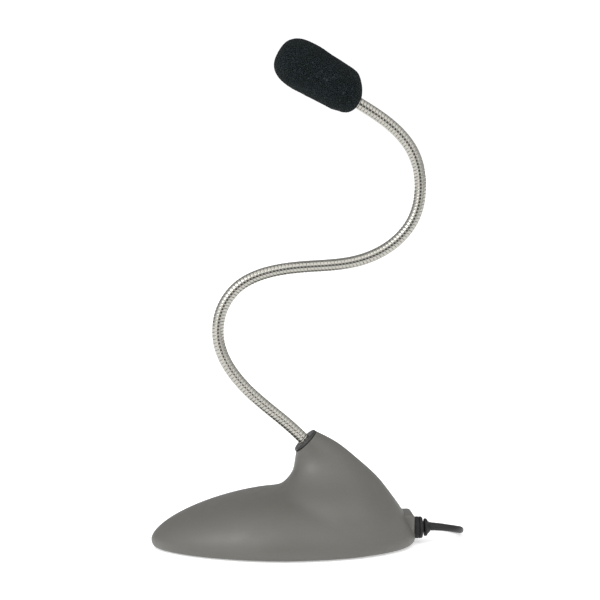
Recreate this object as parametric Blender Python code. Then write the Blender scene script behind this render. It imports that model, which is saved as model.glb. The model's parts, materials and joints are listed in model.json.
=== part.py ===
"""Desktop microphone: weighted teardrop base with a fin, bendable steel gooseneck, foam windscreen.

Metres, +Z up, nose of the base towards -X, cord towards +X, everything but the spare cord
symmetrical about the plane Y = 0. The neck is bent in that plane.
"""

import math

import bmesh
import bpy
import numpy as np
from mathutils import Matrix, Vector

MM = 0.001
GAP = 0.3 * MM  # clearance between pieces that touch

# Base shell. The dome is a superellipsoid, pointed at the nose and rounder at the tail.
BASE_X = -2.0 * MM
BASE_LENGTH = 134.4 * MM
BASE_WIDTH = 79.0 * MM
DOME_TOP = 29.8 * MM
NOSE_POWER = 1.65
TAIL_POWER = 2.1
EDGE_Z = 3.6 * MM  # height of the widest outline at mid-length
EDGE_DROP = 1.2 * MM  # how much lower that outline is at the tail, and higher at the nose
RIM_Z = 0.6 * MM
RIM_INSET = 2.6 * MM
WALL = 2.4 * MM
SIDE_WALL = 4.9 * MM

# Fin sections below the round top, going down: front x, z, back x, z, half width, all in mm.
FIN_TOP_RADIUS = 7.2
FIN_SECTIONS = (
    (3.1, 42.0, 24.5, 52.6, 8.6),
    (1.7, 37.2, 34.7, 44.4, 12.0),
    (-2.6, 31.6, 44.4, 35.5, 18.5),
    (-10.0, 24.0, 52.5, 25.5, 27.5),
    (-17.0, 13.0, 60.3, 13.8, 31.5),
    (-21.6, 4.3, 64.7, 3.4, 29.6),
)
FIN_TEARDROP = 0.12  # how much of its width each lower section moves to the back
FIN_BLUNT = 0.6  # how much squarer than an ellipse the front of the lower sections is

BLOCK_X = (49.0 * MM, 63.6 * MM)
BLOCK_WIDTH = 17.0 * MM
BLOCK_Z = (3.0 * MM, 16.2 * MM)

# Case screws, feet and ballast: places as x, y in mm, on both sides of Y = 0.
SCREW_PLACES = ((-44.0, 9.0), (22.0, 26.5))
FOOT_PLACES = ((-28.0, 20.0), (42.0, 15.0))
PLATE_Z = (0.9 * MM, 2.9 * MM)
FOOT_RADIUS = 4.5 * MM
FOOT_HEIGHT = 1.6 * MM
BALLAST_X = (-32.0 * MM, 26.0 * MM)
BALLAST_WIDTH = 42.0 * MM
BALLAST_HEIGHT = 8.5 * MM
CLAMP_X = 51.0 * MM
CLAMP_SCREW_Y = 5.6 * MM
SPLICE_X = 34.0 * MM

# Gooseneck: centreline through these points (x, z in mm), from the collar to the head.
NECK_POINTS = (
    (9.1, 53.1), (0.8, 61.1), (-7.8, 68.4), (-25.9, 85.9), (-34.5, 103.0), (-33.6, 119.0),
    (-24.9, 131.8), (-7.7, 139.4), (11.3, 141.7), (32.9, 143.8), (51.1, 151.5),
    (63.2, 165.5), (66.3, 181.0), (62.4, 198.5), (51.5, 211.6), (35.4, 222.6),
)
NECK_RADIUS = 3.0 * MM
NECK_BORE = 1.7 * MM
NECK_JOINTS = 10
FIRST_JOINT = 9.0 * MM  # from the collar along the neck
LAST_JOINT = 7.0 * MM  # from the foam back along the neck
NECK_BELOW = 16.0 * MM  # length inside the base
NECK_IN_HEAD = 6.0 * MM
LEAD_RADIUS = 0.5 * MM

# Head, measured along its axis from the foam's rear end.
HEAD_TILT = math.radians(30.0)
FOAM_LENGTH = 47.7 * MM
FOAM_RADIUS = 12.4 * MM
FOAM_REAR_RADIUS = 11.5 * MM
FOAM_OFFSET = 1.9 * MM
HOUSING_RADIUS = 6.9 * MM

# Cord: 1.5 m of 3.6 mm lead.
CORD_RADIUS = 1.8 * MM
CORD_Z = 7.8 * MM
CORD_RUN = (
    (72.6, 0.0, 7.8), (77.5, 0.1, 7.6), (82.5, 1.2, 6.8), (87.0, 4.4, 5.4), (89.6, 9.3, 3.9),
    (89.9, 15.0, 2.6), (87.6, 20.4, 1.95), (83.2, 24.8, 1.9), (77.6, 28.4, 1.9),
    (70.5, 32.6, 1.95), (62.5, 37.3, 2.1), (54.0, 41.2, 2.4), (45.9, 42.9, 2.7),
)
CORD_TAIL = (
    (14.1, 43.2, 6.0), (10.8, 44.2, 5.4), (6.8, 45.3, 4.8), (2.7, 45.7, 4.6),
)
COIL_CENTRE = (30.0 * MM, 73.0 * MM)
COIL_INNER = 12.0 * MM  # centreline radii of the innermost and outermost turns
COIL_OUTER = 30.0 * MM
COIL_LIFT = 0.9 * MM
TIE_WIDTH = 4.0 * MM
TIE_THICK = 0.6 * MM
PLUG_X = 2.0 * MM
PLUG_Y = 45.7 * MM
PLUG_Z = 4.6 * MM


def remove_everything():
    for obj in list(bpy.data.objects):
        bpy.data.objects.remove(obj, do_unlink=True)


def material(name, colour, roughness, metallic=0.0):
    made = bpy.data.materials.new(name)
    made.use_nodes = True
    shader = made.node_tree.nodes["Principled BSDF"]
    shader.inputs["Base Color"].default_value = (*colour, 1.0)
    shader.inputs["Roughness"].default_value = roughness
    shader.inputs["Metallic"].default_value = metallic
    return made


def add_object(name, data, finish=None, origin=(0.0, 0.0, 0.0)):
    """The object, with its own origin at a point given in world space."""
    data.transform(Matrix.Translation(-Vector(origin)))
    obj = bpy.data.objects.new(name, data)
    obj.location = origin
    bpy.context.scene.collection.objects.link(obj)
    if finish:
        data.materials.append(finish)
    return obj


def mesh_object(name, mesh, finish=None, origin=(0.0, 0.0, 0.0)):
    bmesh.ops.recalc_face_normals(mesh, faces=mesh.faces[:])
    data = bpy.data.meshes.new(name)
    mesh.to_mesh(data)
    mesh.free()
    data.shade_smooth()
    data.set_sharp_from_angle(angle=math.radians(35))
    return add_object(name, data, finish, origin)


def loft(name, rings, finish=None, loop=False, origin=(0.0, 0.0, 0.0)):
    """A skin over rings of points. It ends in caps, or as a loop joins its last ring to its first."""
    mesh = bmesh.new()
    rows = [[mesh.verts.new(point) for point in ring] for ring in rings]
    pairs = list(zip(rows, rows[1:]))
    if loop:
        pairs.append((rows[-1], rows[0]))
    else:
        mesh.faces.new(rows[0])
        mesh.faces.new(rows[-1])
    for first, second in pairs:
        for i in range(len(first)):
            j = (i + 1) % len(first)
            mesh.faces.new((first[i], first[j], second[j], second[i]))
    return mesh_object(name, mesh, finish, origin)


def ring_about(centre, direction, radius, sides):
    """Points round an axis that lies in the plane Y = 0 or any other."""
    along = Vector(direction).normalized()
    side = Vector((0, 1, 0)) if abs(along.y) < 0.9 else Vector((1, 0, 0))
    up = along.cross(side).normalized()
    side = up.cross(along)
    turns = [2 * math.pi * (i + 0.5) / sides for i in range(sides)]
    return [Vector(centre) + radius * (math.cos(a) * side + math.sin(a) * up) for a in turns]


def turned(name, start, direction, profile, finish=None, sides=24, loop=False, origin=None):
    """A turned piece: profile lists distance along the axis and radius. A loop leaves a bore."""
    along = Vector(direction).normalized()
    rings = [ring_about(Vector(start) + s * along, along, r, sides) for s, r in profile]
    return loft(name, rings, finish, loop, start if origin is None else origin)


def box(name, low, high, finish=None, bevel=0.0, origin=(0.0, 0.0, 0.0)):
    mesh = bmesh.new()
    bmesh.ops.create_cube(mesh, size=1.0)
    middle = (Vector(low) + Vector(high)) / 2
    size = Vector(high) - Vector(low)
    bmesh.ops.scale(mesh, vec=size, verts=mesh.verts)
    bmesh.ops.translate(mesh, vec=middle, verts=mesh.verts)
    if bevel:
        bmesh.ops.bevel(mesh, geom=mesh.edges[:], offset=bevel, segments=2, affect="EDGES", profile=0.5)
    return mesh_object(name, mesh, finish, origin)


def boolean(obj, cutters, operation="DIFFERENCE"):
    for cutter in cutters:
        step = obj.modifiers.new(operation.lower() + "_" + cutter.name, "BOOLEAN")
        step.operation = operation
        step.object = cutter
        cutter.hide_render = True
        cutter.display_type = "WIRE"
    return obj


def cord(name, points, radius, finish, origin=(0.0, 0.0, 0.0)):
    curve = bpy.data.curves.new(name, "CURVE")
    curve.dimensions = "3D"
    curve.bevel_depth = radius
    curve.bevel_resolution = 2
    curve.use_fill_caps = True
    spline = curve.splines.new("POLY")
    spline.points.add(len(points) - 1)
    for place, point in zip(spline.points, points):
        place.co = (*point, 1.0)
    return add_object(name, curve, finish, origin)


def smooth_curve(points, step):
    """A natural cubic spline through the points, read every step along its length."""
    knots = np.array(points, float)
    lengths = np.linalg.norm(np.diff(knots, axis=0), axis=1)
    t = np.concatenate([[0.0], np.cumsum(lengths)])
    n = len(knots)
    system = np.eye(n)
    right = np.zeros_like(knots)
    for i in range(1, n - 1):
        h, k = lengths[i - 1], lengths[i]
        system[i, i - 1 : i + 2] = h, 2 * (h + k), k
        right[i] = 6 * ((knots[i + 1] - knots[i]) / k - (knots[i] - knots[i - 1]) / h)
    bends = np.linalg.solve(system, right)
    fine = np.linspace(0, t[-1], 4000)
    i = np.clip(np.searchsorted(t, fine, side="right") - 1, 0, n - 2)
    h = lengths[i][:, None]
    a = (t[i + 1] - fine)[:, None] / h
    b = 1 - a
    dense = a * knots[i] + b * knots[i + 1]
    dense += ((a**3 - a) * bends[i] + (b**3 - b) * bends[i + 1]) * h**2 / 6
    run = np.concatenate([[0.0], np.cumsum(np.linalg.norm(np.diff(dense, axis=0), axis=1))])
    places = np.linspace(0, run[-1], max(2, round(run[-1] / step) + 1))
    return np.stack([np.interp(places, run, dense[:, k]) for k in range(dense.shape[1])], axis=1)


class Neck:
    """The gooseneck's centreline, straight beyond both ends, read by distance from the collar."""

    def __init__(self):
        flat = smooth_curve(NECK_POINTS, 0.2) * MM
        self.points = np.stack([flat[:, 0], np.zeros(len(flat)), flat[:, 1]], axis=1)
        steps = np.linalg.norm(np.diff(self.points, axis=0), axis=1)
        self.run = np.concatenate([[0.0], np.cumsum(steps)])
        self.length = float(self.run[-1])

    def direction(self, s):
        near = min(max(s, 0.0), self.length)
        a, b = max(near - 0.5 * MM, 0.0), min(near + 0.5 * MM, self.length)
        return (self.curve_point(b) - self.curve_point(a)).normalized()

    def curve_point(self, s):
        return Vector([float(np.interp(s, self.run, self.points[:, k])) for k in range(3)])

    def point(self, s):
        near = min(max(s, 0.0), self.length)
        return self.curve_point(near) + self.direction(near) * (s - near)


remove_everything()

SHELL = material("shell_plastic", (0.16, 0.155, 0.14), 0.55)
BLACK_PLASTIC = material("black_plastic", (0.02, 0.02, 0.02), 0.45)
STEEL = material("neck_steel", (0.6, 0.59, 0.56), 0.28, 1.0)
ZINC = material("zinc_steel", (0.55, 0.55, 0.56), 0.35, 1.0)
IRON = material("ballast_iron", (0.12, 0.12, 0.12), 0.7, 1.0)
RUBBER = material("black_rubber", (0.015, 0.015, 0.015), 0.8)
FOAM = material("black_foam", (0.008, 0.01, 0.01), 1.0)
CABLE = material("cable_jacket", (0.012, 0.012, 0.012), 0.5)
GOLD = material("plug_contact", (0.75, 0.74, 0.72), 0.2, 1.0)

neck = Neck()
ROOT_POINT = neck.point(0.0)
ROOT_DIRECTION = neck.direction(0.0)
HEAD_POINT = neck.point(neck.length)
HEAD_DIRECTION = Vector((-math.cos(HEAD_TILT), 0, math.sin(HEAD_TILT)))


# ---- base shell ----


def outline(turn, half_length, half_width):
    """The base's outline at one turn about its middle."""
    c, s = math.cos(turn), math.sin(turn)
    power = 2 / (NOSE_POWER if c < 0 else TAIL_POWER)
    x = math.copysign(abs(c) ** power, c) * half_length
    return x, math.copysign(abs(s) ** power, s) * half_width


def dome_rings(inset, top, sides=40):
    """Rings of the dome from its widest outline up."""
    rings = []
    for degrees in (0, 10, 22, 34, 46, 58, 70, 81):
        level = math.radians(degrees)
        ring = []
        for i in range(sides):
            turn = 2 * math.pi * i / sides
            x, y = outline(turn, BASE_LENGTH / 2 - inset, BASE_WIDTH / 2 - inset)
            power = 2 / (2.0 - 0.35 * max(-math.cos(turn), 0.0) ** 2)
            shrink, rise = math.cos(level) ** power, math.sin(level) ** power
            edge = EDGE_Z - EDGE_DROP * x / (BASE_LENGTH / 2)
            ring.append((BASE_X + x * shrink, y * shrink, edge + (top - edge) * rise))
        rings.append(ring)
    return rings


def edge_ring(inset, height, sides=40):
    """A ring below the widest outline. Height 1 is that outline, and height 0 is the rim."""
    ring = []
    for i in range(sides):
        turn = 2 * math.pi * i / sides
        x, y = outline(turn, BASE_LENGTH / 2 - inset, BASE_WIDTH / 2 - inset)
        edge = EDGE_Z - EDGE_DROP * x / (BASE_LENGTH / 2)
        ring.append((BASE_X + x, y, RIM_Z + (edge - RIM_Z) * height))
    return ring


def dome():
    below = [
        edge_ring(RIM_INSET * (1 - math.cos(a)), 1 - math.sin(a))
        for a in map(math.radians, (90, 60, 30))
    ]
    return loft("dome", below + dome_rings(0.0, DOME_TOP))


def fin_outline(turn, blunt):
    """A fin section's outline at one turn: an ellipse behind, and in front squarer by as much as blunt."""
    c, s = math.cos(turn), math.sin(turn)
    power = 2 / (2.0 + blunt * math.sqrt(max(-c, 0.0)))
    return math.copysign(abs(c) ** power, c), math.copysign(abs(s) ** power, s)


def fin_rings(inset, first, count, sides=28):
    """Sections of the fin. Each is an egg between its front and back points."""
    middle_x, middle_z = NECK_POINTS[0]
    dx, dz = ROOT_DIRECTION.z * FIN_TOP_RADIUS, -ROOT_DIRECTION.x * FIN_TOP_RADIUS
    top = (middle_x - dx, middle_z - dz, middle_x + dx, middle_z + dz, FIN_TOP_RADIUS)
    sections = smooth_curve([top, *FIN_SECTIONS][first:], 0.5)
    rows = sections[np.linspace(0, len(sections) - 1, count).round().astype(int)]
    rings = []
    for row, (fx, fz, bx, bz, half_width) in enumerate(rows * MM):
        front, back = Vector((fx, 0, fz)), Vector((bx, 0, bz))
        middle, half = (front + back) / 2, (back - front) / 2
        reach = half.length - inset
        lean = FIN_TEARDROP * row / (count - 1)
        ring = []
        for i in range(sides):
            c, wide = fin_outline(2 * math.pi * i / sides, FIN_BLUNT * min(1.0, 1.6 * row / (count - 1)))
            wide *= (half_width - inset) * (1 + lean * c)
            ring.append(middle + half.normalized() * reach * c + Vector((0, wide, 0)))
        rings.append(ring)
    return rings


def both_sides(places):
    return [(x * MM, side * y * MM) for x, y in places for side in (-1, 1)]


def base_shell():
    top_down = ROOT_DIRECTION
    cavity = loft("dome_cavity", [
        [(x, y, -1 * MM) for x, y, _ in edge_ring(SIDE_WALL, 0)],
        *dome_rings(SIDE_WALL, DOME_TOP - WALL),
    ])
    fin_hollow = loft("fin_hollow", fin_rings(WALL, 2, 6, 20))
    block_hollow = box(
        "block_hollow", (40 * MM, -5.8 * MM, PLATE_Z[1] + 0.05 * MM), (61.2 * MM, 5.8 * MM, 13 * MM)
    )
    pocket = turned("nut_pocket", ROOT_POINT, -top_down, [(12 * MM, 6.6 * MM), (27 * MM, 6.6 * MM)])
    posts = [
        turned(f"post_{i}", (x, y, PLATE_Z[1] + GAP), (0, 0, 1), [(0, 3.2 * MM), (60 * MM, 3.2 * MM)], sides=16)
        for i, (x, y) in enumerate(both_sides(SCREW_PLACES))
    ]
    holes = [
        turned(f"screw_hole_{i}", (x, y, 0), (0, 0, 1), [(0, 1.3 * MM), (11 * MM, 1.3 * MM)], sides=12)
        for i, (x, y) in enumerate(both_sides(SCREW_PLACES))
    ]
    boolean(cavity, [fin_hollow, block_hollow, pocket], "UNION")
    boolean(cavity, posts)
    bore = turned("neck_bore", ROOT_POINT, -top_down, [(-3 * MM, 4.6 * MM), (15 * MM, 4.6 * MM)])
    cord_hole = turned("cord_hole", (59 * MM, 0, CORD_Z), (1, 0, 0), [(0, 3.3 * MM), (8 * MM, 3.3 * MM)])
    seat = turned("relief_seat", (BLOCK_X[1], 0, CORD_Z), (1, 0, 0), [(0, 6 * MM), (6 * MM, 6 * MM)])
    block = box(
        "tail_block", (BLOCK_X[0], -BLOCK_WIDTH / 2, BLOCK_Z[0]), (BLOCK_X[1], BLOCK_WIDTH / 2, BLOCK_Z[1]),
        bevel=2.2 * MM,
    )
    fin = loft("fin", fin_rings(0.0, 0, 11))
    shell = dome()
    shell.name = "base_shell"
    shell.data.materials.append(SHELL)
    boolean(shell, [fin, block], "UNION")
    boolean(shell, [cavity, bore, cord_hole, seat, *holes])
    return shell


# ---- base, inside and below ----


def base_plate():
    inset = SIDE_WALL + GAP
    flat = edge_ring(inset, 0)
    plate = loft("base_plate", [[(x, y, z) for x, y, _ in flat] for z in PLATE_Z], SHELL)
    saddle = box("cord_saddle", (CLAMP_X - 1.5 * MM, -7 * MM, 2 * MM), (CLAMP_X + 1.5 * MM, 7 * MM, 5.7 * MM))
    posts = [
        turned(f"clamp_post_{side}", (CLAMP_X, side * CLAMP_SCREW_Y, 2 * MM), (0, 0, 1),
               [(0, 2.4 * MM), (7.6 * MM, 2.4 * MM)], sides=16)
        for side in (-1, 1)
    ]
    cuts = [
        turned(f"clamp_hole_{side}", (CLAMP_X, side * CLAMP_SCREW_Y, 4.5 * MM), (0, 0, 1),
               [(0, 1.2 * MM), (8 * MM, 1.2 * MM)], sides=12)
        for side in (-1, 1)
    ]
    for i, (x, y) in enumerate(both_sides(SCREW_PLACES)):
        cuts.append(turned(f"plate_hole_{i}", (x, y, 0), (0, 0, 1), [(0, 1.3 * MM), (5 * MM, 1.3 * MM)], sides=12))
        cuts.append(turned(f"counterbore_{i}", (x, y, 0), (0, 0, 1), [(0, 2.9 * MM), (2.1 * MM, 2.9 * MM)], sides=16))
    for i, (x, y) in enumerate(both_sides(FOOT_PLACES)):
        recess = FOOT_RADIUS + GAP
        cuts.append(turned(f"foot_recess_{i}", (x, y, 0), (0, 0, 1), [(0, recess), (1.9 * MM, recess)], sides=24))
    boolean(plate, [saddle, *posts], "UNION")
    return boolean(plate, cuts)


def ballast():
    low = (BALLAST_X[0], -BALLAST_WIDTH / 2, PLATE_Z[1] + GAP)
    high = (BALLAST_X[1], BALLAST_WIDTH / 2, PLATE_Z[1] + GAP + BALLAST_HEIGHT)
    return box("ballast_weight", low, high, IRON, bevel=1.5 * MM)


def feet_and_screws():
    for i, (x, y) in enumerate(both_sides(FOOT_PLACES)):
        profile = [(0, FOOT_RADIUS - 0.5 * MM), (0.4 * MM, FOOT_RADIUS), (FOOT_HEIGHT, FOOT_RADIUS)]
        turned(f"foot_{i + 1}", (x, y, 0), (0, 0, 1), profile, RUBBER, sides=20)
    for i, (x, y) in enumerate(both_sides(SCREW_PLACES)):
        screw(f"case_screw_{i + 1}", (x, y, 1.0 * MM), (0, 0, 1), 2.6 * MM, 0.8 * MM, 1.0 * MM, 8.6 * MM)
    for side in (-1, 1):
        screw(f"clamp_screw_{(side + 3) // 2}", (CLAMP_X, side * CLAMP_SCREW_Y, 13.2 * MM), (0, 0, -1),
              1.9 * MM, 1.2 * MM, 0.9 * MM, 7.8 * MM)


def screw(name, top, direction, head_radius, head_height, radius, length):
    """A pan-head screw, from the top of its head to its point."""
    return turned(name, top, direction, [
        (0, head_radius * 0.75), (head_height * 0.4, head_radius), (head_height, head_radius),
        (head_height, radius), (length - radius, radius), (length, radius * 0.2),
    ], ZINC, sides=12)


def neck_fixing():
    """The collar bush on top of the fin, and the ferrule and nut that hold the neck below it."""
    flange, sleeve, clear = 7.15 * MM, 4.3 * MM, NECK_RADIUS + GAP
    turned("collar", ROOT_POINT, ROOT_DIRECTION, [
        (1.5 * MM, clear), (1.5 * MM, flange - 0.5 * MM), (1.2 * MM, flange - 0.1 * MM), (0.9 * MM, flange),
        (GAP, flange), (GAP, sleeve), (-5.5 * MM, sleeve), (-5.5 * MM, clear),
    ], BLACK_PLASTIC, sides=32, loop=True)
    turned("neck_ferrule", ROOT_POINT, ROOT_DIRECTION, [
        (-5.8 * MM, clear), (-5.8 * MM, sleeve), (-17 * MM, sleeve), (-17 * MM, clear),
    ], ZINC, sides=24, loop=True)
    turned("neck_nut", ROOT_POINT, ROOT_DIRECTION, [
        (-12.3 * MM, sleeve + GAP), (-12.3 * MM, 6.2 * MM), (-15.3 * MM, 6.2 * MM), (-15.3 * MM, sleeve + GAP),
    ], ZINC, sides=24, loop=True)


def cord_anchor():
    """The clamp over the cord, the splice where cord and lead join, and the cord's inner end."""
    bar = box("cord_clamp", (CLAMP_X - 2 * MM, -8 * MM, 9.9 * MM), (CLAMP_X + 2 * MM, 8 * MM, 11.7 * MM), ZINC,
              bevel=0.3 * MM)
    boolean(bar, [
        turned(f"bar_hole_{side}", (CLAMP_X, side * CLAMP_SCREW_Y, 8 * MM), (0, 0, 1),
               [(0, 1.2 * MM), (6 * MM, 1.2 * MM)], sides=12)
        for side in (-1, 1)
    ])
    turned("splice_sleeve", (SPLICE_X, 0, CORD_Z), (1, 0, 0), [
        (0, 1.3 * MM), (0, 1.9 * MM), (5 * MM, 2.0 * MM), (7 * MM, 2.7 * MM), (13 * MM, 2.7 * MM),
        (13 * MM, 2.1 * MM), (6 * MM, 2.1 * MM), (6 * MM, 1.3 * MM),
    ], BLACK_PLASTIC, sides=16, loop=True)
    cord("cord_inner", [Vector((x * MM, 0, CORD_Z)) for x in (40.4, 48, 56, 64, 72.1)], CORD_RADIUS, CABLE)


# ---- gooseneck and head ----


def joint_places():
    last = neck.length - LAST_JOINT
    return [float(s) for s in np.linspace(FIRST_JOINT, last, NECK_JOINTS)]


def neck_segment(index, start, end, below=0.0, above=0.0):
    """One rigid length of the neck: a round cup at its lower joint and a ball at its upper one.

    Below and above are plain lengths that stand in for the cup or the ball at the neck's own ends.
    """
    cup = NECK_RADIUS + GAP
    stations = []
    if below:
        a = start - below
        stations.append((neck.point(a), neck.direction(a), NECK_RADIUS))
        first = a + 5 * MM
    else:
        joint, way = neck.point(start), neck.direction(start)
        for radius in (NECK_BORE, 2.3 * MM, 2.75 * MM, NECK_RADIUS):
            stations.append((joint + way * math.sqrt(cup**2 - radius**2), way, radius))
        first = start + cup + 1.5 * MM
    last = end + above if above else end
    for s in map(float, np.linspace(first, last, 5)):
        stations.append((neck.point(s), neck.direction(s), NECK_RADIUS))
    if not above:
        joint, way = neck.point(end), neck.direction(end)
        for radius in (2.75 * MM, 2.3 * MM, NECK_BORE):
            stations.append((joint + way * math.sqrt(NECK_RADIUS**2 - radius**2), way, radius))
    inner_low = start - below if below else first
    for s in map(float, np.linspace(last, inner_low, 4)):
        stations.append((neck.point(s), neck.direction(s), NECK_BORE))
    rings = [ring_about(p, d, r, 10) for p, d, r in stations]
    origin = neck.point(start) if index else (0.0, 0.0, 0.0)
    return loft(f"neck_segment_{index:02d}", rings, STEEL, loop=True, origin=origin)


def gooseneck():
    places = joint_places()
    ends = [0.0, *places, neck.length]
    for i in range(NECK_JOINTS + 1):
        below = NECK_BELOW if i == 0 else 0.0
        above = NECK_IN_HEAD if i == NECK_JOINTS else 0.0
        neck_segment(i, ends[i], ends[i + 1], below, above)
        lead_piece(i, ends[i], ends[i + 1])


def lead_piece(index, start, end):
    """The signal lead inside one length of the neck. The first comes up from the splice."""
    half_gap = 0.5 * MM
    low, high = start + half_gap, end - half_gap
    origin = neck.point(start) if index else (0.0, 0.0, 0.0)
    if index == NECK_JOINTS:
        points = [neck.point(low), neck.point(end)]
        points.append(HEAD_POINT + 19.5 * MM * HEAD_DIRECTION)
    elif index:
        points = [neck.point(s) for s in map(float, np.linspace(low, high, 6))]
    else:
        slack = [
            (39.8, 7.8), (37.4, 7.8), (34.8, 7.8), (32.0, 8.8), (30.2, 12.4),
            (29.4, 18.0), (27.6, 28.0), (24.6, 36.4),
        ]
        entry = [neck.point(s) for s in (-14 * MM, -5 * MM, 2 * MM, high)]
        flat = slack + [(p.x / MM, p.z / MM) for p in entry]
        points = [Vector((x * MM, 0, z * MM)) for x, z in smooth_curve(flat, 4.0)]
    return cord(f"signal_lead_{index:02d}", points, LEAD_RADIUS, CABLE, origin)


def head():
    """Everything on the neck's upper end, turned about the head's axis."""
    last_joint = neck.point(neck.length - LAST_JOINT)

    def on_axis(name, profile, finish, sides=24, loop=True):
        return turned(name, HEAD_POINT, HEAD_DIRECTION, profile, finish, sides, loop, last_joint)

    on_axis("head_ferrule", [
        (3 * MM, 3.3 * MM), (3 * MM, 4.0 * MM), (9.5 * MM, 4.0 * MM), (9.5 * MM, 3.3 * MM),
    ], ZINC)
    on_axis("capsule_housing", [
        (4 * MM, 4.3 * MM), (4 * MM, 5.6 * MM), (6 * MM, HOUSING_RADIUS), (28 * MM, HOUSING_RADIUS),
        (28 * MM, 6.1 * MM), (10.5 * MM, 6.1 * MM), (10.5 * MM, 4.3 * MM),
    ], BLACK_PLASTIC)
    on_axis("capsule_sleeve", [
        (18.5 * MM, 5.15 * MM), (18.5 * MM, 5.8 * MM), (27 * MM, 5.8 * MM), (27 * MM, 5.15 * MM),
    ], RUBBER)
    on_axis("microphone_capsule", [
        (19.9 * MM, 4.6 * MM), (20.2 * MM, 4.85 * MM), (26.4 * MM, 4.85 * MM), (26.6 * MM, 4.6 * MM),
    ], ZINC, loop=False)
    cap = on_axis("housing_cap", [
        (28 * MM + GAP, HOUSING_RADIUS), (29.6 * MM, HOUSING_RADIUS), (30.3 * MM, 6.2 * MM),
    ], BLACK_PLASTIC, loop=False)
    side, up = Vector((0, 1, 0)), HEAD_DIRECTION.cross(Vector((0, 1, 0)))
    for i in range(7):
        turn = math.radians(60 * i)
        reach = 0.0 if i == 6 else 3.6 * MM
        place = HEAD_POINT + reach * (math.cos(turn) * side + math.sin(turn) * up)
        hole = turned(f"cap_hole_{i}", place, HEAD_DIRECTION, [(26 * MM, 0.9 * MM), (33 * MM, 0.9 * MM)], sides=10)
        boolean(cap, [hole])


def windscreen():
    """The foam: blunt at the rear, widest two thirds along, rounded at the front."""
    up = Vector((math.sin(HEAD_TILT), 0, math.cos(HEAD_TILT)))
    rear, widest, power = 13.0 * MM, 31.0 * MM, 2.4
    places = [0.0265, 0.08, 0.2, 0.35, 0.55, 0.8, 1.0]
    profile = []
    for u in places:
        s = rear * u
        profile.append((s, FOAM_REAR_RADIUS * (1 - (1 - u) ** power) ** (1 / power)))
    profile += [(rear + (widest - rear) * u, FOAM_REAR_RADIUS + (FOAM_RADIUS - FOAM_REAR_RADIUS) * u) for u in (0.5, 1.0)]
    for u in (0.25, 0.5, 0.7, 0.85, 0.95, 0.995):
        s = widest + (FOAM_LENGTH - widest) * u
        profile.append((s, FOAM_RADIUS * (1 - u**power) ** (1 / power)))
    foam = turned("windscreen", HEAD_POINT + FOAM_OFFSET * up, HEAD_DIRECTION, profile, FOAM, 28)
    bore = turned("windscreen_bore", HEAD_POINT, HEAD_DIRECTION, [
        (-5 * MM, HOUSING_RADIUS + GAP), (30.9 * MM, HOUSING_RADIUS + GAP),
    ], sides=24)
    return boolean(foam, [bore])


# ---- cord, coil and plug ----


def strain_relief():
    start = (58.8 * MM, 0, CORD_Z)
    bore = CORD_RADIUS + GAP
    return turned("strain_relief", start, (1, 0, 0), [
        (0, bore), (0, 4.5 * MM), (2.1 * MM, 4.5 * MM), (2.1 * MM, 3.0 * MM), (5.1 * MM, 3.0 * MM),
        (5.1 * MM, 5.3 * MM), (5.4 * MM, 5.6 * MM), (7.2 * MM, 5.6 * MM), (7.5 * MM, 5.3 * MM),
        (7.8 * MM, 5.6 * MM), (9.2 * MM, 5.6 * MM), (9.5 * MM, 5.3 * MM), (9.5 * MM, 2.4 * MM),
        (10.6 * MM, 2.4 * MM), (10.6 * MM, 4.1 * MM), (11.0 * MM, 4.5 * MM), (11.8 * MM, 4.4 * MM),
        (13.5 * MM, 2.4 * MM), (13.5 * MM, bore),
    ], RUBBER, sides=20, loop=True)


def free_cord():
    for name, route in (("cord_run", CORD_RUN), ("cord_tail", CORD_TAIL)):
        cord(name, [Vector(p) * MM for p in smooth_curve(route, 5.0)], CORD_RADIUS, CABLE)
    low, high = COIL_LIFT, COIL_LIFT + 4 * CORD_RADIUS
    inner, outer, round_off = COIL_INNER - CORD_RADIUS, COIL_OUTER + CORD_RADIUS, 1.2 * MM
    turned("cord_coil", (*COIL_CENTRE, 0), (0, 0, 1), [
        (low, inner + round_off), (low, outer - round_off), (low + round_off, outer),
        (high - round_off, outer), (high, outer - round_off), (high, inner + round_off),
        (high - round_off, inner), (low + round_off, inner),
    ], CABLE, sides=32, loop=True)
    middle, half = COIL_CENTRE[1] + (inner + outer) / 2, (outer - inner) / 2 + GAP
    x = COIL_CENTRE[0]
    tie = box("cord_tie", (x - TIE_WIDTH / 2, middle - half - TIE_THICK, 0),
              (x + TIE_WIDTH / 2, middle + half + TIE_THICK, high + GAP + TIE_THICK), BLACK_PLASTIC)
    boolean(tie, [box("tie_opening", (x - TIE_WIDTH, middle - half, TIE_THICK), (x + TIE_WIDTH, middle + half, high + GAP))])


def plug():
    """A 3.5 mm stereo plug that lies on the surface, its pin towards -X."""
    def on_axis(name, profile, finish, sides=20):
        points = [(s * MM, r * MM) for s, r in profile]
        return turned(name, (PLUG_X, PLUG_Y, PLUG_Z), (-1, 0, 0), points, finish, sides)

    on_axis("plug_body", [(0, 2.5), (7, 3.6), (8, 4.4), (9, 4.5), (24, 4.5), (25.4, 4.2), (26, 3.7)], BLACK_PLASTIC)
    on_axis("plug_sleeve", [(26.3, 3.2), (27.0, 3.2), (27.0, 1.75), (34.2, 1.75)], GOLD)
    on_axis("plug_insulator_1", [(34.5, 1.75), (35.1, 1.75)], BLACK_PLASTIC, 16)
    on_axis("plug_ring", [(35.4, 1.75), (37.0, 1.75)], GOLD, 16)
    on_axis("plug_insulator_2", [(37.3, 1.75), (37.9, 1.75)], BLACK_PLASTIC, 16)
    on_axis("plug_tip", [(38.2, 1.2), (39.0, 1.2), (39.7, 1.7), (40.6, 1.0), (41.0, 0.4)], GOLD, 16)


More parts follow.
